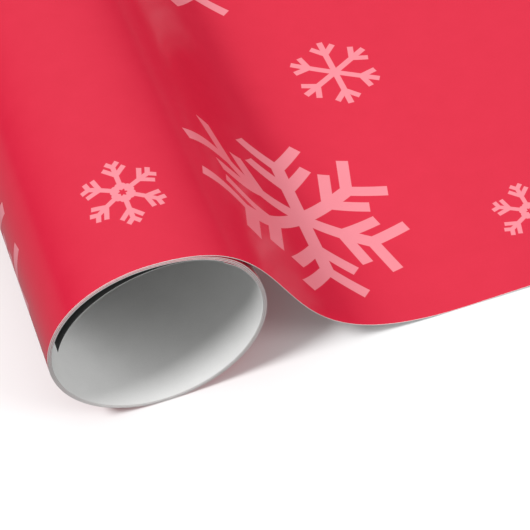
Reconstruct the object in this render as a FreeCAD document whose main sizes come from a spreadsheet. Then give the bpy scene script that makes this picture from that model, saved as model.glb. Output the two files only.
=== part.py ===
import FreeCAD, Part
import math
import os
import Sketcher

# A roll of wrapping paper lying on a table, with its outer end drawn off the top to one side.
# The roll has no core: the whole object is one sheet of paper, 762 mm wide and 1.83 m long.
# Y runs along the roll, +X is the way the paper is drawn off, and +Z is up.
# Each sub-part is a stretch of that sheet. They are modelled about the roll's axis at its near
# end, and then moved together so that the origin is under the middle of the object's box.

doc = FreeCAD.newDocument("wrapping_paper_roll")
sheet = doc.addObject("Spreadsheet::Sheet", "sizes")

DRIVING_SIZES = [
    ("paper_width", 762.0),        # length of the roll, 30 in
    ("paper_thickness", 0.1),
    ("roll_diameter", 50.8),
    ("turn_pitch", 0.15),          # paper and the air above it, from one turn to the next
    ("turn_count", 8),
    ("arcs_per_turn", 24),
    ("parting_angle", 48.0),       # where the inmost layer leaves the wall, up from +X
    ("leaf_gap", 0.3),             # between the loose inmost layer and the wall it leaves
    ("leaf_pinch_radius", 9.0),    # the short tight bend that turns it away from the wall
    ("leaf_pinch_turn", 18.3),
    ("leaf_radius", 26.7),         # its long slack bend, up to the cut edge
    ("leaf_turn", 97.0),
    ("ramp_clearance", 0.3),       # the drawn paper over the roll's top
    ("shoulder_radius", 28.8),     # where the paper turns down off the roll
    ("ramp_slope", 61.8),          # steepest slope of the paper between roll and table
    ("foot_radius", 42.5),         # where it turns out onto the table
    ("arcs_per_bend", 12),         # each of those two bends is a run of short tangent arcs
    ("flat_length", 457.2),        # paper lying on the table, 18 in
    ("pull_travel", 159.6),        # how far the lead end draws out, for one full turn of the roll
    ("lead_overlap", 40.0),        # lead end still under the drawn sheet when pulled out
    ("lap_height", 0.4),           # underside of the drawn sheet where the lead end lies under it
    ("lap_rise_length", 12.0),     # length over which the drawn sheet rises onto the lead end
]

for row, (alias, value) in enumerate(DRIVING_SIZES, start=1):
    sheet.set("A%d" % row, alias)
    sheet.set("B%d" % row, str(value))
    sheet.setAlias("B%d" % row, alias)
doc.recompute()

roll_radius = sheet.roll_diameter / 2
turn_count = int(sheet.turn_count)
arcs_per_turn = int(sheet.arcs_per_turn)
arcs_per_bend = int(sheet.arcs_per_bend)
crest_arcs = arcs_per_bend // 2

# Expressions that several sub-parts share. An outline's first coordinate is X and its second Z.
SLOPE = "sizes.ramp_slope * 1 deg"
RAMP_TOP_Z = "(sizes.roll_diameter + sizes.ramp_clearance)"
SHOULDER_END_X = "sizes.shoulder_radius * sin(%s)" % SLOPE
SHOULDER_END_Z = "(%s - sizes.shoulder_radius * (1 - cos(%s)))" % (RAMP_TOP_Z, SLOPE)
FOOT_START_Z = "sizes.foot_radius * (1 - cos(%s))" % SLOPE
FOOT_START_X = "(%s + (%s - %s) / tan(%s))" % (SHOULDER_END_X, SHOULDER_END_Z, FOOT_START_Z, SLOPE)
FOOT_END_X = "(%s + sizes.foot_radius * sin(%s))" % (FOOT_START_X, SLOPE)
SHEET_END_X = "(%s + sizes.flat_length)" % FOOT_END_X
LEAD_LENGTH = "(sizes.pull_travel + sizes.lead_overlap)"


def value_of(expression):
    """Number that an expression over the sheet's cells gives."""
    result = sheet.evalExpression(expression.replace("sizes.", ""))
    return float(getattr(result, "Value", result))


def origin_plane(body, role):
    """The body's own origin plane with the given role."""
    return next(item for item in body.Origin.OriginFeatures if item.Role == role)


def fix_point(sketch, geometry, end, x_expression, z_expression):
    """Ties one end of a sketch element to two coordinates, each an expression."""
    for kind, axis, expression in (("DistanceX", -2, x_expression), ("DistanceY", -1, z_expression)):
        distance = value_of(expression)
        if abs(distance) < 1e-9:
            sketch.addConstraint(Sketcher.Constraint("PointOnObject", geometry, end, axis))
        else:
            index = sketch.addConstraint(Sketcher.Constraint(kind, -1, 1, geometry, end, distance))
            sketch.setExpression("Constraints[%d]" % index, expression)


def arc_through(start, finish, radius, bulge):
    """Arc of a radius between two points; bulge 1 bends it to the left of the way from start to
    finish, -1 to the right."""
    half = (finish - start) * 0.5
    side = FreeCAD.Vector(-half.y, half.x, 0).normalize() * bulge
    rise = radius - math.sqrt(radius ** 2 - half.Length ** 2)
    return Part.Arc(start, start + half + side * rise, finish)


def paper_pad(label, outline):
    """A stretch of paper padded across the roll's width from its edge-on outline. Each entry is a
    corner's X and Z, then the radius and bulge of the side that leaves it, or None if straight."""
    body = doc.addObject("PartDesign::Body", label)
    body.Label = label
    sketch = body.newObject("Sketcher::SketchObject", label + "_outline")
    sketch.AttachmentSupport = [(origin_plane(body, "XZ_Plane"), "")]
    sketch.MapMode = "FlatFace"
    corners = [FreeCAD.Vector(value_of(x), value_of(z), 0) for x, z, _ in outline]
    for index, (_, _, bend) in enumerate(outline):
        start = corners[index]
        finish = corners[(index + 1) % len(corners)]
        if bend is None:
            sketch.addGeometry(Part.LineSegment(start, finish), False)
        else:
            sketch.addGeometry(arc_through(start, finish, value_of(bend[0]), bend[1]), False)
    for index, (x, z, bend) in enumerate(outline):
        following = (index + 1) % len(outline)
        # An arc's ends keep the order in which it turns anticlockwise.
        leaving = 1 if bend is None or bend[1] < 0 else 2
        arriving = 3 - leaving
        next_bend = outline[following][2]
        next_leaving = 1 if next_bend is None or next_bend[1] < 0 else 2
        sketch.addConstraint(Sketcher.Constraint("Coincident", index, arriving, following, next_leaving))
        fix_point(sketch, index, leaving, x, z)
        if bend is not None:
            radius = sketch.addConstraint(Sketcher.Constraint("Radius", index, value_of(bend[0])))
            sketch.setExpression("Constraints[%d]" % radius, bend[0])
    pad = body.newObject("PartDesign::Pad", label + "_width")
    pad.Profile = sketch
    pad.setExpression("Length", "sizes.paper_width")
    pad.Reversed = True
    sketch.Visibility = False
    body.Tip = pad
    return body


def volute(start_angle, end_angle, offset):
    """Tangent arcs that wind inwards about the roll's axis, anticlockwise seen from the near end.
    Each arc's centre steps along the last radius, so the radius falls by one pitch a turn."""
    step_angle = 360.0 / arcs_per_turn
    centre_step = sheet.turn_pitch / arcs_per_turn
    centre = FreeCAD.Vector(0, 0, roll_radius)
    radius = roll_radius
    angle = 90.0
    edges = []
    while angle < end_angle - 1e-6:
        reach = min(step_angle, end_angle - angle)
        if angle > start_angle - 1e-6:
            stops = [math.radians(angle + reach * share) for share in (0, 0.5, 1)]
            points = [
                centre + FreeCAD.Vector(math.cos(stop), 0, math.sin(stop)) * (radius - offset)
                for stop in stops
            ]
            edges.append(Part.Arc(*points).toShape())
        angle += reach
        turned = math.radians(angle)
        centre += FreeCAD.Vector(math.cos(turned), 0, math.sin(turned)) * centre_step
        radius -= centre_step
    return edges


def bent_strip(outer, inner):
    """Solid between two runs of edges with the same ends, carried across the paper's width."""
    cut_edges = [
        Part.makeLine(outer[0].firstVertex(True).Point, inner[0].firstVertex(True).Point),
        Part.makeLine(outer[-1].lastVertex(True).Point, inner[-1].lastVertex(True).Point),
    ]
    outline = Part.Wire(Part.__sortEdges__(outer + inner + cut_edges))
    return Part.Face(outline).extrude(FreeCAD.Vector(0, sheet.paper_width, 0))


def wound_turn(number):
    """One turn of the winding. The last one stops where the loose layer leaves the wall."""
    start_angle = 90.0 + 360.0 * (number - 1)
    end_angle = start_angle + 360.0
    if number == turn_count:
        end_angle = 360.0 * number + sheet.parting_angle
    outer = volute(start_angle, end_angle, 0)
    inner = volute(start_angle, end_angle, sheet.paper_thickness)
    turn = doc.addObject("Part::Feature", "turn_%d" % number)
    turn.Label = "turn_%d" % number
    turn.Shape = bent_strip(outer, inner)
    return turn


def leaf_run(offset):
    """The loose layer's two bends, each an arc tangent to the one before."""
    angle = math.radians(sheet.parting_angle)
    turns_wound = turn_count - (90.0 - sheet.parting_angle) / 360.0
    start_radius = roll_radius - turns_wound * sheet.turn_pitch - sheet.leaf_gap
    outward = FreeCAD.Vector(math.cos(angle), 0, math.sin(angle))
    point = FreeCAD.Vector(0, 0, roll_radius) + outward * start_radius
    edges = []
    for bend_radius, turn_by in (
        (sheet.leaf_pinch_radius, sheet.leaf_pinch_turn),
        (sheet.leaf_radius, sheet.leaf_turn),
    ):
        centre = point - outward * bend_radius
        arc_count = math.ceil(turn_by / 15.0)
        for _ in range(arc_count):
            stops = [angle + math.radians(turn_by) / arc_count * share for share in (0, 0.5, 1)]
            points = [
                centre + FreeCAD.Vector(math.cos(stop), 0, math.sin(stop)) * (bend_radius - offset)
                for stop in stops
            ]
            edges.append(Part.Arc(*points).toShape())
            angle = stops[-1]
        outward = FreeCAD.Vector(math.cos(angle), 0, math.sin(angle))
        point = centre + outward * bend_radius
    return edges


def shoulder_point(count, side):
    """Corner after so many of the shoulder's arcs, and the radius there, on one side of the paper."""
    angle = "(sizes.ramp_slope * %d / sizes.arcs_per_bend * 1 deg)" % count
    radius = "(sizes.shoulder_radius + %s)" % side
    x = "%s * sin(%s)" % (radius, angle)
    z = "%s - sizes.shoulder_radius + %s * cos(%s)" % (RAMP_TOP_Z, radius, angle)
    return x, z, radius


def foot_point(count, side):
    """Corner so many arcs before the end of the foot's bend, and the radius there."""
    angle = "(sizes.ramp_slope * %d / sizes.arcs_per_bend * 1 deg)" % count
    radius = "(sizes.foot_radius - %s)" % side
    x = "%s - %s * sin(%s)" % (FOOT_END_X, radius, angle)
    z = "sizes.foot_radius - %s * cos(%s)" % (radius, angle)
    return x, z, radius


def bend_run(point, first, last, side, bulge):
    """Outline entries along a bend, from one count of its arcs to another, ending straight."""
    step = 1 if last > first else -1
    entries = []
    for count in range(first, last + step, step):
        x, z, radius = point(count, side)
        entries.append((x, z, None if count == last else (radius, bulge)))
    return entries


turns = [wound_turn(number) for number in range(1, turn_count + 1)]

inner_leaf = doc.addObject("Part::Feature", "inner_leaf")
inner_leaf.Label = "inner_leaf"
inner_leaf.Shape = bent_strip(leaf_run(0), leaf_run(sheet.paper_thickness))

# The crest is the first half of the bend that lifts the paper off the roll's top. The ramp is the
# rest of that bend, the slope and the sag onto the table. Both outlines go down the underside and
# back up the printed side, and the cut between them is square to the paper.
UNDERSIDE = "0"
PRINTED_SIDE = "sizes.paper_thickness"
crest = paper_pad("crest", [
    *bend_run(shoulder_point, 0, crest_arcs, UNDERSIDE, 1),
    *bend_run(shoulder_point, crest_arcs, 0, PRINTED_SIDE, -1),
])
ramp = paper_pad("ramp", [
    *bend_run(shoulder_point, crest_arcs, arcs_per_bend, UNDERSIDE, 1),
    *bend_run(foot_point, arcs_per_bend, 0, UNDERSIDE, -1),
    *bend_run(foot_point, 0, arcs_per_bend, PRINTED_SIDE, 1),
    *bend_run(shoulder_point, arcs_per_bend, crest_arcs, PRINTED_SIDE, -1),
])

LAP_END_X = "(%s - %s - sizes.ramp_clearance)" % (SHEET_END_X, LEAD_LENGTH)
LAP_START_X = "(%s - sizes.lap_rise_length)" % LAP_END_X
drawn_sheet = paper_pad("drawn_sheet", [
    (FOOT_END_X, "0", None),
    (LAP_START_X, "0", None),
    (LAP_END_X, "sizes.lap_height", None),
    (SHEET_END_X, "sizes.lap_height", None),
    (SHEET_END_X, "sizes.lap_height + sizes.paper_thickness", None),
    (LAP_END_X, "sizes.lap_height + sizes.paper_thickness", None),
    (LAP_START_X, "sizes.paper_thickness", None),
    (FOOT_END_X, "sizes.paper_thickness", None),
])

lead_end = doc.addObject("Part::Box", "lead_end")
lead_end.Label = "lead_end"
lead_end.setExpression("Length", LEAD_LENGTH)
lead_end.setExpression("Width", "sizes.paper_width")
lead_end.setExpression("Height", "sizes.paper_thickness")

sub_parts = turns + [inner_leaf, crest, ramp, drawn_sheet, lead_end]
sheet_end = value_of(SHEET_END_X)
to_origin = FreeCAD.Vector((roll_radius - sheet_end) / 2, -sheet.paper_width / 2, 0)
for sub_part in sub_parts:
    sub_part.Placement = FreeCAD.Placement(to_origin, FreeCAD.Rotation())
lead_start = FreeCAD.Vector(sheet_end - value_of(LEAD_LENGTH), 0, 0)
lead_end.Placement = FreeCAD.Placement(to_origin + lead_start, FreeCAD.Rotation())
doc.recompute()

for item in doc.Objects:
    if "Invalid" in item.State or "Error" in item.State:
        raise RuntimeError("%s did not compute: %s" % (item.Label, item.State))
for sub_part in sub_parts:
    if sub_part.Shape.isNull() or not sub_part.Shape.isValid():
        raise RuntimeError("%s has no valid shape" % sub_part.Label)
    if len(sub_part.Shape.Solids) != 1:
        raise RuntimeError("%s is not one solid" % sub_part.Label)

os.makedirs("parts", exist_ok=True)
for sub_part in sub_parts:
    sub_part.Shape.exportStep("parts/%s.step" % sub_part.Label)
    box = sub_part.Shape.BoundBox
    area = sub_part.Shape.Volume / (sheet.paper_thickness * sheet.paper_width)
    print("%-12s x %8.2f %8.2f  z %6.2f %6.2f  length of paper %7.1f mm"
          % (sub_part.Label, box.XMin, box.XMax, box.ZMin, box.ZMax, area))
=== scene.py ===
import bpy
import math
import numpy as np
from mathutils import Matrix, Vector


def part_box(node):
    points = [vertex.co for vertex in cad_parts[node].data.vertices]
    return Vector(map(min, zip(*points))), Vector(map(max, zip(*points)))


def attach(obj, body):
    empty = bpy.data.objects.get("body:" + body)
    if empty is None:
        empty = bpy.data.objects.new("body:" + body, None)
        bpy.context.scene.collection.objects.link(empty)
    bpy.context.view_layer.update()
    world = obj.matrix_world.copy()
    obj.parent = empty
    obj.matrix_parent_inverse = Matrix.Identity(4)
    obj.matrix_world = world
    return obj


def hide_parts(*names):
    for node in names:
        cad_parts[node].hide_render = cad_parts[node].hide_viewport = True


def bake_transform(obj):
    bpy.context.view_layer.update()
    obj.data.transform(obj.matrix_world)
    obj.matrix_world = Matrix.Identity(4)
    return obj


# A roll of gift wrapping paper lying on a table: one printed sheet wound eight times without a
# core, its outer end drawn off the top, down a curve and out flat. Every piece is a stretch of
# that sheet. Lengths are in metres, X is the way the paper is drawn off, Y runs along the roll.

MM = 0.001
FULL_TURN = 2 * math.pi

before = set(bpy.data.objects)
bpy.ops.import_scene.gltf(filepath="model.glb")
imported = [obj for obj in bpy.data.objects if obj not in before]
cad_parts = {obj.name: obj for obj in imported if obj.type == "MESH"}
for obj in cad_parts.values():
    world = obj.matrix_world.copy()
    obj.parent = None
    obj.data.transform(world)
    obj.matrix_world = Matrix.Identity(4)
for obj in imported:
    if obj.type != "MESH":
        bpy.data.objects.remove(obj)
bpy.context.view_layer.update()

# ---------------------------------------------------------------------------------------------
# Sizes, most of them read from the frame's own boxes.

SHEET_LOW, SHEET_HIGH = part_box("drawn_sheet")
TURN_LOW, TURN_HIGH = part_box("turn_1")
LEAD_LOW, LEAD_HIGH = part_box("lead_end")
PAPER = 0.1 * MM                             # thickness of the paper
NEAR_Y, FAR_Y = SHEET_LOW.y, SHEET_HIGH.y    # the two long edges of the paper
WIDTH = FAR_Y - NEAR_Y
RADIUS = TURN_HIGH.z / 2
AXIS_X = TURN_LOW.x + RADIUS - 0.01 * MM
LAP_Z = SHEET_HIGH.z                         # the drawn sheet's printed face over the lead end
TURNS = 8
PARTING = math.radians(48.0)                 # where the loose layer leaves the wall, up from +X
WOUND = TURNS * FULL_TURN - (math.pi / 2 - PARTING)    # angle wound from the top to there
PULL = 159.6 * MM                            # how far the lead end is drawn out at its limit


# ---------------------------------------------------------------------------------------------
# Surfaces.

def smooth_step(value, start, end):
    """0 before start, 1 after end, and 3t^2 - 2t^3 between them."""
    t = np.clip((value - start) / (end - start), 0, 1)
    return t * t * (3 - 2 * t)


def hump(value, centre, width):
    """A bell, exp(-((value - centre) / width)^2)."""
    return np.exp(-(((value - centre) / width) ** 2))


def run_length(points):
    """Distance along a row of points from its first one."""
    steps = np.sqrt((np.diff(points, axis=0) ** 2).sum(1))
    return np.concatenate([[0.0], np.cumsum(steps)])


def left_normals(points):
    """Unit normals of a curve in the XZ plane, to the left of the way it runs."""
    along = np.gradient(points, axis=0)
    along /= np.linalg.norm(along, axis=1)[:, None]
    return np.stack([-along[:, 1], along[:, 0]], axis=1)


def heading(degrees):
    """Unit vector in the XZ plane, so many degrees up from +X."""
    return np.array([math.cos(math.radians(degrees)), math.sin(math.radians(degrees))])


def bezier(first, second, third, last, count):
    """Cubic Bezier curve through count points: (1-t)^3 a + 3(1-t)^2 t b + 3(1-t) t^2 c + t^3 d."""
    t = np.linspace(0, 1, count)[:, None]
    return ((1 - t) ** 3 * first + 3 * (1 - t) ** 2 * t * second
            + 3 * (1 - t) * t ** 2 * third + t ** 3 * last)


def carried_across(profile, normals, thickness, y):
    """Grids of the two faces of a strip whose edge-on profile is carried straight across the
    paper's width: the white face lies one thickness behind the printed one."""
    def grid(line):
        whole = np.empty((len(line), len(y), 3))
        whole[:, :, 0] = line[:, None, 0]
        whole[:, :, 1] = y[None, :]
        whole[:, :, 2] = line[:, None, 1]
        return whole

    return grid(profile), grid(profile - normals * thickness)


def paper_strip(name, printed, white, along_print, rows, materials):
    """A closed sheet between two faces given on one grid. printed and white are arrays of points,
    one entry for each step along the strip and each row across the paper; along_print is the
    print's own coordinate at each step, in millimetres. The faces are the quads of the two grids,
    and four bands of quads join their borders. The print map holds the print's two coordinates."""
    steps, across = printed.shape[:2]
    points = np.concatenate([printed.reshape(-1, 3), white.reshape(-1, 3)])
    index = np.arange(steps * across).reshape(steps, across)
    under = index + steps * across
    a, b, c, d = index[:-1, :-1], index[1:, :-1], index[1:, 1:], index[:-1, 1:]
    top = np.stack([a, b, c, d], axis=-1).reshape(-1, 4)
    a, b, c, d = under[:-1, :-1], under[:-1, 1:], under[1:, 1:], under[1:, :-1]
    bottom = np.stack([a, b, c, d], axis=-1).reshape(-1, 4)

    def band(line, line_under):
        return np.stack([line[1:], line[:-1], line_under[:-1], line_under[1:]], axis=-1)

    bands = np.concatenate([
        band(index[:, 0], under[:, 0]),
        band(index[::-1, -1], under[::-1, -1]),
        band(index[0, ::-1], under[0, ::-1]),
        band(index[-1, :], under[-1, :]),
    ])
    quads = np.concatenate([top, bottom, bands])
    mesh = bpy.data.meshes.new(name)
    mesh.vertices.add(len(points))
    mesh.vertices.foreach_set("co", points.astype(np.float32).ravel())
    mesh.loops.add(quads.size)
    mesh.loops.foreach_set("vertex_index", quads.astype(np.int32).ravel())
    mesh.polygons.add(len(quads))
    mesh.polygons.foreach_set("loop_start", np.arange(0, quads.size, 4, dtype=np.int32))
    mesh.polygons.foreach_set("use_smooth", np.ones(len(quads), dtype=bool))
    # The first material is for the printed face, the second for the white one, the third for
    # the cut edges.
    side = np.repeat(np.arange(3, dtype=np.int32), [len(top), len(bottom), len(bands)])
    mesh.polygons.foreach_set("material_index", side)
    mesh.update(calc_edges=True)
    mesh.validate()
    u = np.repeat(along_print[:, None], across, axis=1)
    v = np.repeat(rows[None, :], steps, axis=0)
    face = np.stack([u, v], axis=-1).reshape(-1, 2)
    both_faces = np.concatenate([face, face])
    corners = np.empty(len(mesh.loops), dtype=np.int32)
    mesh.loops.foreach_get("vertex_index", corners)
    print_map = mesh.uv_layers.new(name="print")
    print_map.data.foreach_set("uv", both_faces[corners].astype(np.float32).ravel())
    for material in materials:
        mesh.materials.append(material)
    mesh.set_sharp_from_angle(angle=math.radians(50))
    piece = bpy.data.objects.new(name, mesh)
    bpy.context.scene.collection.objects.link(piece)
    return piece


# ---------------------------------------------------------------------------------------------
# Materials.

TILE_U, TILE_V = 101.6, 104.4        # the print's repeat along the paper and across it, in mm
RED_DEEP, RED_LIGHT = "#D6183A", "#DA1C3E"
PINK_DEEP, PINK_LIGHT = "#EE8894", "#F18D99"
BARE_FIBRE = "#F3C9CC"               # white fibre seen through the ink at a cut edge
NODE_MATH, NODE_MIX, NODE_RANGE = "ShaderNodeMath", "ShaderNodeMix", "ShaderNodeMapRange"
NODE_NOISE, NODE_BUMP = "ShaderNodeTexNoise", "ShaderNodeBump"
# Inputs and output of a colour mix, by number.
MIX_FIRST, MIX_SECOND, MIX_RESULT = 6, 7, 2


def linear(hex_colour):
    """An sRGB hex colour as linear RGBA."""
    parts = [int(hex_colour[i:i + 2], 16) / 255 for i in (1, 3, 5)]
    return tuple(
        part / 12.92 if part <= 0.04045 else ((part + 0.055) / 1.055) ** 2.4 for part in parts
    ) + (1.0,)


def add(tree, kind, inputs=(), output=0, **settings):
    """Adds a node with its settings and gives back one of its outputs. inputs is a list in the
    order of the node's sockets, or a dict keyed by their names or numbers; another node's output
    is linked, and anything else is a constant."""
    node = tree.nodes.new(kind)
    for name, value in settings.items():
        setattr(node, name, value)
    for key, value in (inputs.items() if isinstance(inputs, dict) else enumerate(inputs)):
        if isinstance(value, bpy.types.NodeSocket):
            tree.links.new(value, node.inputs[key])
        else:
            node.inputs[key].default_value = value
    return node.outputs[output]


def from_centre(tree, coordinate, centre, repeat):
    """Distance from a motif's centre, nearest repeat: ((c - centre + half) mod repeat) - half."""
    shifted = add(tree, NODE_MATH, (coordinate, repeat / 2 - centre), operation="ADD")
    wrapped = add(tree, NODE_MATH, (shifted, repeat), operation="FLOORED_MODULO")
    return add(tree, NODE_MATH, (wrapped, repeat / 2), operation="SUBTRACT")


def bar(tree, along, beside, length, width):
    """How far a point is outside a straight bar that starts at along = 0: the larger of its two
    overshoots, past the bar's ends and past its sides. It is negative inside."""
    sideways = add(tree, NODE_MATH, (beside,), operation="ABSOLUTE")
    past_side = add(tree, NODE_MATH, (sideways, width / 2), operation="SUBTRACT")
    from_middle = add(tree, NODE_MATH, (along, length / 2), operation="SUBTRACT")
    lengthways = add(tree, NODE_MATH, (from_middle,), operation="ABSOLUTE")
    past_end = add(tree, NODE_MATH, (lengthways, length / 2), operation="SUBTRACT")
    return add(tree, NODE_MATH, (past_side, past_end), operation="MAXIMUM")


def snowflake(tree, u, v, centre, stem, stem_width, prongs, prong_width, hub=None):
    """How far a point is outside a six-armed snowflake. The plane is folded onto half of one arm,
    by a triangle wave of the angle about the centre; on it the stem is a bar, and each prong is a
    bar that leaves the stem at 45 degrees. prongs are (distance out, length) pairs. hub gives a
    scalloped disc (radius, scallop height) with a star cut out of it (least, greatest radius)."""
    half_arm = math.pi / 6
    slant = math.sqrt(0.5)
    du = from_centre(tree, u, centre[0], TILE_U)
    dv = from_centre(tree, v, centre[1], TILE_V)
    angle = add(tree, NODE_MATH, (dv, du), operation="ARCTAN2")
    turned = add(tree, NODE_MATH, (angle, half_arm), operation="SUBTRACT")
    fold = add(tree, NODE_MATH, (turned, half_arm), operation="PINGPONG")
    du_squared = add(tree, NODE_MATH, (du, du), operation="MULTIPLY")
    reach_squared = add(tree, NODE_MATH, (dv, dv, du_squared), operation="MULTIPLY_ADD")
    reach = add(tree, NODE_MATH, (reach_squared,), operation="SQRT")
    cosine = add(tree, NODE_MATH, (fold,), operation="COSINE")
    sine = add(tree, NODE_MATH, (fold,), operation="SINE")
    along = add(tree, NODE_MATH, (reach, cosine), operation="MULTIPLY")
    beside = add(tree, NODE_MATH, (reach, sine), operation="MULTIPLY")
    outside = bar(tree, along, beside, stem, stem_width)
    for start, length in prongs:
        out = add(tree, NODE_MATH, (along, start), operation="SUBTRACT")
        both = add(tree, NODE_MATH, (out, beside), operation="ADD")
        prong_along = add(tree, NODE_MATH, (both, slant), operation="MULTIPLY")
        apart = add(tree, NODE_MATH, (beside, out), operation="SUBTRACT")
        prong_beside = add(tree, NODE_MATH, (apart, slant), operation="MULTIPLY")
        prong = bar(tree, prong_along, prong_beside, length, prong_width)
        outside = add(tree, NODE_MATH, (outside, prong), operation="MINIMUM")
    if hub is not None:
        radius, scallop, star_low, star_high = hub
        sixfold = add(tree, NODE_MATH, (fold, 6.0), operation="MULTIPLY")
        swing = add(tree, NODE_MATH, (sixfold,), operation="SINE")
        wave = add(tree, NODE_MATH, (swing,), operation="ABSOLUTE")
        edge = add(tree, NODE_MATH, (wave, scallop, radius), operation="MULTIPLY_ADD")
        disc = add(tree, NODE_MATH, (reach, edge), operation="SUBTRACT")
        outside = add(tree, NODE_MATH, (outside, disc), operation="MINIMUM")
        widening = (star_high - star_low) / half_arm
        star = add(tree, NODE_MATH, (fold, widening, star_low), operation="MULTIPLY_ADD")
        inside_star = add(tree, NODE_MATH, (star, reach), operation="SUBTRACT")
        outside = add(tree, NODE_MATH, (outside, inside_star), operation="MAXIMUM")
    return outside


def patches(tree, place, cloud_size, cloud_detail, grain_size, grain_share):
    """Cloudy patches and fine grain, sizes in mm: their weighted sum spread over 0 to 1, and the
    grain alone."""
    cloud = add(tree, NODE_NOISE, {"Vector": place, "Scale": 1 / cloud_size,
                                   "Detail": cloud_detail, "Roughness": 0.6}, "Fac")
    grain = add(tree, NODE_NOISE, {"Vector": place, "Scale": 1 / grain_size,
                                   "Detail": 2.0, "Roughness": 0.5}, "Fac")
    clouds = add(tree, NODE_MATH, (cloud, 1 - grain_share), operation="MULTIPLY")
    mottle = add(tree, NODE_MATH, (grain, grain_share, clouds), operation="MULTIPLY_ADD")
    spread = add(tree, NODE_RANGE, {"Value": mottle, "From Min": 0.3, "From Max": 0.7,
                                    "To Min": 0.0, "To Max": 1.0})
    return spread, grain


def printed_paper():
    """Gift wrap printed by gravure on clay-coated paper of about 80 g/m2. The ink is a flat, strong
    red with pale pink snowflakes; the coating gives an even satin sheen that picks up the white of
    the room, and the paper's fibres show only as a faint mottle. The cut edge shows white fibre."""
    material = bpy.data.materials.new("gravure_printed_gift_wrap")
    material.use_nodes = True
    tree = material.node_tree
    shader = tree.nodes["Principled BSDF"]
    place = add(tree, "ShaderNodeUVMap", uv_map="print")
    u = add(tree, "ShaderNodeSeparateXYZ", (place,), "X")
    v = add(tree, "ShaderNodeSeparateXYZ", (place,), "Y")

    large = snowflake(tree, u, v, (46.2, 34.9), 17.7, 3.5, [(10.1, 10.6), (17.6, 10.5)], 3.1)
    medium = snowflake(tree, u, v, (74.2, 84.7), 12.1, 1.65, [(7.2, 4.45)], 1.6)
    small = snowflake(tree, u, v, (0.7, 21.9), 7.9, 1.15, [(5.2, 3.45), (7.8, 1.95)], 1.15,
                      hub=(2.5, 0.3, 0.6, 1.1))
    nearer = add(tree, NODE_MATH, (large, medium), operation="MINIMUM")
    nearest = add(tree, NODE_MATH, (nearer, small), operation="MINIMUM")
    # Ink edges are soft over 0.16 mm, about three dots of the printing screen.
    inked = add(tree, NODE_RANGE, {"Value": nearest, "From Min": 0.08, "From Max": -0.08,
                                   "To Min": 0.0, "To Max": 1.0})

    # Ink lay: cloudy patches of a few millimetres, and grain near the size of the fibres. The
    # grain is drawn at 0.6 mm, several times coarser than real fibre, so that it shows.
    lay, grain = patches(tree, place, 7.0, 3.0, 0.6, 0.35)
    red = add(tree, NODE_MIX, {"Factor": lay, MIX_FIRST: linear(RED_DEEP),
                               MIX_SECOND: linear(RED_LIGHT)}, MIX_RESULT, data_type="RGBA")
    pink = add(tree, NODE_MIX, {"Factor": lay, MIX_FIRST: linear(PINK_DEEP),
                                MIX_SECOND: linear(PINK_LIGHT)}, MIX_RESULT, data_type="RGBA")
    ink = add(tree, NODE_MIX, {"Factor": inked, MIX_FIRST: red, MIX_SECOND: pink},
              MIX_RESULT, data_type="RGBA")
    # White fibre along the two cut edges of the roll, about 0.12 mm wide and ragged.
    ragged = add(tree, NODE_MATH, (grain, 0.16, 0.03), operation="MULTIPLY_ADD")
    from_far = add(tree, NODE_MATH, (WIDTH / MM, v), operation="SUBTRACT")
    from_edge = add(tree, NODE_MATH, (v, from_far), operation="MINIMUM")
    fibre = add(tree, NODE_MATH, (from_edge, ragged), operation="LESS_THAN")
    colour = add(tree, NODE_MIX, {"Factor": fibre, MIX_FIRST: ink,
                                  MIX_SECOND: linear(BARE_FIBRE)}, MIX_RESULT, data_type="RGBA")
    tree.links.new(colour, shader.inputs["Base Color"])

    sheen = add(tree, NODE_RANGE, {"Value": lay, "From Min": 0.0, "From Max": 1.0,
                                   "To Min": 0.22, "To Max": 0.27})
    # Pink areas carry less ink, so the coating is a little duller there.
    duller = add(tree, NODE_MATH, (inked, 0.05, sheen), operation="MULTIPLY_ADD")
    tree.links.new(duller, shader.inputs["Roughness"])
    shader.inputs["IOR"].default_value = 1.6
    relief = add(tree, NODE_BUMP, {"Height": grain, "Strength": 0.06, "Distance": 0.02 * MM})
    tree.links.new(relief, shader.inputs["Normal"])
    return material


def white_paper(name, bright, dull, roughness):
    """The uncoated back of the wrap: bleached paper, plain white, matt, with a soft cloudy
    formation of a few millimetres and fine fibre grain. The loose layer's gap face uses it with
    dark grey, as painted shade."""
    material = bpy.data.materials.new(name)
    material.use_nodes = True
    tree = material.node_tree
    shader = tree.nodes["Principled BSDF"]
    place = add(tree, "ShaderNodeUVMap", uv_map="print")
    formation, grain = patches(tree, place, 5.0, 4.0, 0.5, 0.4)
    colour = add(tree, NODE_MIX, {"Factor": formation, MIX_FIRST: linear(dull),
                                  MIX_SECOND: linear(bright)}, MIX_RESULT, data_type="RGBA")
    tree.links.new(colour, shader.inputs["Base Color"])
    matt = add(tree, NODE_MATH, (formation, 0.08, roughness), operation="MULTIPLY_ADD")
    tree.links.new(matt, shader.inputs["Roughness"])
    shader.inputs["IOR"].default_value = 1.45
    relief = add(tree, NODE_BUMP, {"Height": grain, "Strength": 0.12, "Distance": 0.03 * MM})
    tree.links.new(relief, shader.inputs["Normal"])
    return material


PRINTED = printed_paper()
BACK = white_paper("bleached_paper_back", "#E8E8E7", "#E2E2E1", 0.60)
# Edge of paper cut on a guillotine: open fibre ends, matt, paler and darker in spots.
EDGE = white_paper("guillotined_paper_edge", "#EDEDEC", "#D9D9D8", 0.70)
# The face of the loose layer that looks into the narrow gap beside the wall. On the real paper this
# face is printed red; here it is coloured dark grey, as painted shade for the gap, which stays
# dark.
GAP_SIDE_PAINTED_SHADE = white_paper("painted_shade_on_gap_face", "#4A4A4A", "#3E3E3E", 0.80)


# ---------------------------------------------------------------------------------------------
# The winding.

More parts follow.
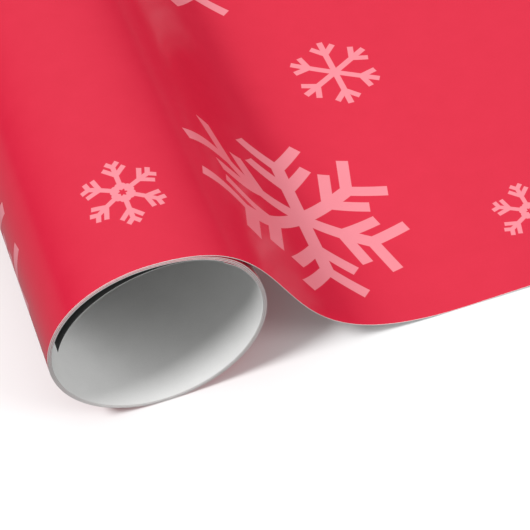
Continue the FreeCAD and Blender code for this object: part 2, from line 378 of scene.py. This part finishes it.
SAG, SPRING_OUT = 1.38 * MM, 0.3 * MM
TIGHT, SPRUNG = 0.12 * MM, 0.03 * MM
LEAF_ROOT_RADIUS = 24.15 * MM
ROWS_Y = np.linspace(NEAR_Y, FAR_Y, 33)
ROWS_PRINT = (ROWS_Y - NEAR_Y) / MM


def outer_radius(angle):
    """Distance from the roll's axis to its outside at an angle up from +X. The roll sags a little
    at its top under its own weight, by a bell that is wider on the left than on the right. It
    springs out a little under the drawn paper, by a low bell at 40 degrees."""
    degrees = np.degrees(angle) % 360
    width = np.where(degrees < 90, 30, 46)
    return RADIUS - SAG * hump(degrees, 90, width) + SPRING_OUT * hump(degrees, 40, 13)


def wall_spacing(angle):
    """Distance from one turn to the next at an angle up from +X: more where the winding has
    sprung open, low on the right and under the drawn paper."""
    degrees = np.degrees(angle) % 360
    return TIGHT + SPRUNG * hump(degrees, 300, 34) + SPRUNG * hump(degrees, 40, 14)


def winding(total):
    """Printed face of the wound paper at a total angle wound past the top, as X and Z. The radius
    is the roll's own, less the number of turns times the spacing at that angle. The last 12 degrees
    ease inwards to where the loose layer starts."""
    angle = total + math.pi / 2
    radius = outer_radius(angle) - total / FULL_TURN * wall_spacing(angle)
    ease = smooth_step(total, WOUND - math.radians(12), WOUND)
    radius = radius * (1 - ease) + LEAF_ROOT_RADIUS * ease
    return np.stack([AXIS_X + radius * np.cos(angle), RADIUS + radius * np.sin(angle)], axis=1)


# Drawn a shade thicker than the sheet, so that no red shows between tight turns' cut edges.
WOUND_THICKNESS = 0.117 * MM
printed_length = 0.0
for number in range(1, TURNS + 1):
    total = np.linspace(FULL_TURN * (number - 1), min(FULL_TURN * number, WOUND), 145)
    profile = winding(total)
    # The way round is anticlockwise, so the outside lies to the right of it.
    printed, white = carried_across(profile, -left_normals(profile), WOUND_THICKNESS, ROWS_Y)
    # The turns' edges aren't quite in line: all but the outermost stand a little in or out.
    slip = 0.0 if number == 1 else 0.12 * MM * math.sin(number * 2.4)
    taper = smooth_step(np.abs(ROWS_Y), FAR_Y - 30 * MM, FAR_Y) * np.sign(ROWS_Y) * slip
    printed[:, :, 1] += taper[None, :]
    white[:, :, 1] += taper[None, :]
    distance = run_length(profile)
    along = -(printed_length + distance) / MM
    printed_length += distance[-1]
    turn = paper_strip("wound_turn_%d" % number, printed[::-1], white[::-1], along[::-1],
                       ROWS_PRINT, [PRINTED, BACK, EDGE])
    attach(turn, "coil")
    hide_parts("turn_%d" % number)

# The loose inmost layer leaves the wall and then hangs slack to its cut edge.
leaf_root = np.array([AXIS_X, RADIUS]) + LEAF_ROOT_RADIUS * heading(math.degrees(PARTING))
leaf_end = np.array([AXIS_X - 22.58 * MM, 29.79 * MM])
leaf_profile = bezier(leaf_root, leaf_root + heading(139.1) * 15.5 * MM,
                      leaf_end - heading(-104.8) * 16.5 * MM, leaf_end, 90)
printed, white = carried_across(leaf_profile, -left_normals(leaf_profile), PAPER, ROWS_Y)
leaf_distance = run_length(leaf_profile)
along = -(printed_length + leaf_distance) / MM
# The loose layer's printed face gets the gap's dark grey painted shade in place of the red print.
leaf = paper_strip("loose_layer_paper", printed[::-1], white[::-1], along[::-1], ROWS_PRINT,
                   [GAP_SIDE_PAINTED_SHADE, BACK, EDGE])
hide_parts("inner_leaf")
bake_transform(leaf)


# ---------------------------------------------------------------------------------------------
# The drawn sheet: off the roll's top, down the ramp and out over the table. Its X is from the
# roll's axis here.

# Printed face from the roll's top to the table: it leaves the roll level and lands on the table
# level, its middle steep.
top = RADIUS + float(outer_radius(math.pi / 2))
curve = bezier(np.array([0.0, top]), np.array([40.1 * MM, top]),
               np.array([18.53 * MM, PAPER]), np.array([74.9 * MM, PAPER]), 2000)
curve_distance = run_length(curve)
even = np.linspace(0, curve_distance[-1], 120)
ramp = np.stack([np.interp(even, curve_distance, curve[:, 0]),
                 np.interp(even, curve_distance, curve[:, 1])], axis=1)
flat_end = SHEET_HIGH.x - AXIS_X
flat_x = np.concatenate([np.linspace(ramp[-1, 0], 130 * MM, 28)[1:],
                         np.linspace(130 * MM, flat_end, 80)[1:]])
flat = np.stack([flat_x, np.full(len(flat_x), PAPER)], axis=1)
profile = np.vstack([ramp, flat])

# Rows across the paper are closer over the first 200 mm.
sheet_rows = np.unique(np.concatenate([np.linspace(NEAR_Y, NEAR_Y + 0.2, 60),
                                       np.linspace(NEAR_Y + 0.2, FAR_Y, 90)]))
x = profile[:, 0][:, None]
across = (sheet_rows - NEAR_Y)[None, :]
lap_start = LEAD_LOW.x - AXIS_X - 0.3 * MM
lap = (LAP_Z - PAPER) * smooth_step(x, lap_start - 12 * MM, lap_start)
# The sheet doesn't lie dead flat. The foot lands later further along the roll, and low swells up
# to a millimetre high cross the table part; both die out at the roll and at the sheet's end.
foot = 1.5 * MM * hump(x, 66 * MM, 22 * MM) * smooth_step(across, 0.02, 0.09)
near_lift = 0.35 * MM * hump(x, 92 * MM, 12 * MM) * hump(across, 0.0, 0.025)
on_table = smooth_step(x, 70 * MM, 130 * MM) * (1 - smooth_step(x, flat_end - 0.09, flat_end))
swell = 0.9 * MM * on_table * (
    0.5 + 0.3 * np.sin(x / 0.061 + across * 5.0) + 0.2 * np.sin(across / 0.047 - x * 9.0)
) * smooth_step(across, 0.0, 0.12)
lift = np.maximum(lap + foot + near_lift + swell, lap)
printed, white = carried_across(profile, left_normals(profile), PAPER, sheet_rows)
for face in (printed, white):
    face[:, :, 0] += AXIS_X
    face[:, :, 2] += lift
sheet = paper_strip("drawn_paper_sheet", printed, white, profile[:, 0] / MM,
                    (sheet_rows - NEAR_Y) / MM, [PRINTED, BACK, EDGE])
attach(sheet, "drawn_paper")
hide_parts("crest", "ramp", "drawn_sheet")

# The lead end, flat on the table under the drawn sheet. Its print carries on from the drawn
# sheet's when it is all the way out.
lead_x = np.linspace(LEAD_LOW.x, LEAD_HIGH.x, 60)
lead_profile = np.stack([lead_x, np.full(len(lead_x), PAPER)], axis=1)
printed, white = carried_across(lead_profile, left_normals(lead_profile), PAPER, ROWS_Y)
lead = paper_strip("lead_end_paper", printed, white, (lead_x - AXIS_X + PULL) / MM, ROWS_PRINT,
                   [PRINTED, BACK, EDGE])
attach(lead, "lead")
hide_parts("lead_end")


# ---------------------------------------------------------------------------------------------
# Floor, light and camera.

BOARD_HALF = 9                                        # half the side of the floor board
SKY_LOW, SKY_HIGH, TABLE_GLOW = 0.03, 0.70, 0.30      # world brightness
KEY, FRONT, FILL = 2.28, 0.5, 0.9                     # light strengths


def floor_paint():
    """White studio board, painted, matt and even, with tone that hardly varies."""
    material = bpy.data.materials.new("white_studio_board")
    material.use_nodes = True
    tree = material.node_tree
    shader = tree.nodes["Principled BSDF"]
    place = add(tree, "ShaderNodeTexCoord", output="Object")
    cloud = add(tree, NODE_NOISE, {"Vector": place, "Scale": 3.0}, "Fac")
    colour = add(tree, NODE_MIX, {"Factor": cloud, MIX_FIRST: linear("#F7F7F7"),
                                  MIX_SECOND: linear("#F9F9F9")}, MIX_RESULT, data_type="RGBA")
    tree.links.new(colour, shader.inputs["Base Color"])
    shader.inputs["Roughness"].default_value = 0.9
    return material


def soft_light(name, energy, spread, towards, mirrored=True):
    """A distant light of a given angular spread, in degrees, that stands in a direction. The
    paper's sheen shows it only if it is mirrored."""
    light = bpy.data.lights.new(name, "SUN")
    light.energy = energy
    light.angle = math.radians(spread)
    holder = bpy.data.objects.new(name, light)
    bpy.context.scene.collection.objects.link(holder)
    holder.rotation_euler = Vector(towards).to_track_quat("Z", "Y").to_euler()
    holder.visible_glossy = mirrored


board = bpy.data.meshes.new("studio_board")
board.from_pydata([(x * BOARD_HALF, y * BOARD_HALF, 0)
                   for x, y in ((-1, -1), (1, -1), (1, 1), (-1, 1))], [], [(0, 1, 2, 3)])
board.materials.append(floor_paint())
floor = bpy.data.objects.new("studio_board", board)
bpy.context.scene.collection.objects.link(floor)
floor.location = (0, 0, -0.05 * MM)
# The board throws no light on the paper; the world gives its glow instead.
floor.visible_diffuse = False
floor.visible_glossy = False

# A white room: bright overhead, dark at the horizon, with the table's even glow from below.
world = bpy.data.worlds.new("white_studio")
bpy.context.scene.world = world
world.use_nodes = True
sky = world.node_tree
direction = add(sky, "ShaderNodeTexCoord", output="Generated")
height = add(sky, "ShaderNodeSeparateXYZ", (direction,), "Z")
overhead = add(sky, NODE_RANGE, {"Value": height, "From Min": 0.0, "From Max": 1.0,
                                 "To Min": SKY_LOW, "To Max": SKY_HIGH})
above_horizon = add(sky, NODE_MATH, (height, 0.0), operation="GREATER_THAN")
below_horizon = add(sky, NODE_MATH, (height, 0.0), operation="LESS_THAN")
from_above = add(sky, NODE_MATH, (overhead, above_horizon), operation="MULTIPLY")
brightness = add(sky, NODE_MATH, (below_horizon, TABLE_GLOW, from_above),
                 operation="MULTIPLY_ADD")
sky.links.new(brightness, sky.nodes["Background"].inputs["Color"])

soft_light("key_above_left", KEY, 14, (-0.56, -0.11, 0.82))
soft_light("front_right", FRONT, 25, (0.62, -0.52, 0.58), mirrored=False)
soft_light("fill_low_right", FILL, 25, (0.85, -0.50, 0.15), mirrored=False)

azimuth, elevation, roll = math.radians(-17.153), math.radians(50.864), math.radians(-3.282)
target = Vector((AXIS_X + 34.537 * MM, NEAR_Y + 29.812 * MM, 0))
forward = Vector((-math.sin(azimuth) * math.cos(elevation),
                  math.cos(azimuth) * math.cos(elevation), -math.sin(elevation)))
level = forward.cross(Vector((0, 0, 1))).normalized()
upright = level.cross(forward)
right = level * math.cos(roll) + upright * math.sin(roll)
above = right.cross(forward)
place = target - forward * 428.783 * MM
camera_data = bpy.data.cameras.new("camera")
camera_data.lens = 118.43
camera_data.sensor_width = 36
camera_data.clip_start = 0.01
camera = bpy.data.objects.new("camera", camera_data)
bpy.context.scene.collection.objects.link(camera)
camera.matrix_world = Matrix((
    (right.x, above.x, -forward.x, place.x),
    (right.y, above.y, -forward.y, place.y),
    (right.z, above.z, -forward.z, place.z),
    (0, 0, 0, 1),
))
bpy.context.scene.camera = camera
bpy.context.scene.view_settings.view_transform = "Standard"

bpy.context.view_layer.update()
